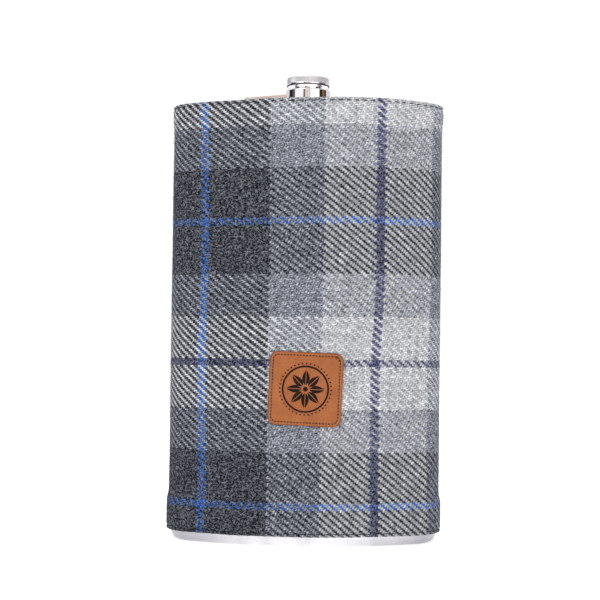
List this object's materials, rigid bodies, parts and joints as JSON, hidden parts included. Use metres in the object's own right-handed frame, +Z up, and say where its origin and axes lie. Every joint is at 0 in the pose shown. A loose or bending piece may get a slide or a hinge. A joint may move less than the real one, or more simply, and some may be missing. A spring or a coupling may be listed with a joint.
{
  "type": "hip flask",
  "caption": "Large kidney-section steel hip flask with a captive screw cap on a hinged arm, in a stitched tweed sleeve with a leather patch.",
  "frame": {"origin": "middle of the bounding box's floor, on the surface that the flask stands on", "axes": "+Z up along the flask, -Y towards the bowed front with the patch, +X to the right seen from the front; the cap's hinge is on the -X side"},
  "size_m": [0.1624, 0.0663, 0.272],
  "materials": {
    "brushed_steel": "brushed",
    "polished_steel": "polished",
    "seal_rubber": "matt",
    "tweed": "woven wool, checked twill",
    "felt_lining": "felt",
    "sewing_thread": "waxed thread",
    "tan_leather": "vegetable-tanned, satin"
  },
  "bodies": {
    "flask": {"base_pan": "brushed_steel", "body_wall": "brushed_steel", "top_pan": "brushed_steel", "neck": "polished_steel", "hinge_bracket": "polished_steel", "hinge_pin": "polished_steel", "tweed_sleeve": "tweed", "sleeve_lining": "felt_lining", "top_hem_thread": "sewing_thread", "bottom_hem_thread": "sewing_thread", "back_seam_thread": "sewing_thread", "leather_patch": "tan_leather", "patch_thread": "sewing_thread"},
    "arm": {"collar_cup": "polished_steel", "arm_strap": "polished_steel"},
    "seal": {"cap_seal": "seal_rubber"},
    "cap": {"cap_head": "polished_steel", "cap_insert": "polished_steel"}
  },
  "joints": [
    {"name": "arm_swing", "type": "hinge", "parent": "flask", "child": "arm", "pos_m": [-0.0359, -0.00363, 0.2588], "axis": [0, -1, 0], "range_deg": [0, 145]},
    {"name": "cap_lift", "type": "slide", "parent": "arm", "child": "seal", "axis": [0, 0, 1], "range_m": [0, 0.003]},
    {"name": "cap_unscrew", "type": "hinge", "parent": "seal", "child": "cap", "pos_m": [0, -0.00363, 0.263], "axis": [0, 0, 1], "range_deg": [0, 720]}
  ],
  "couplings": [
    {"joint": "cap_lift", "follows": "cap_unscrew", "m_per_rad": 0.00023873}
  ]
}
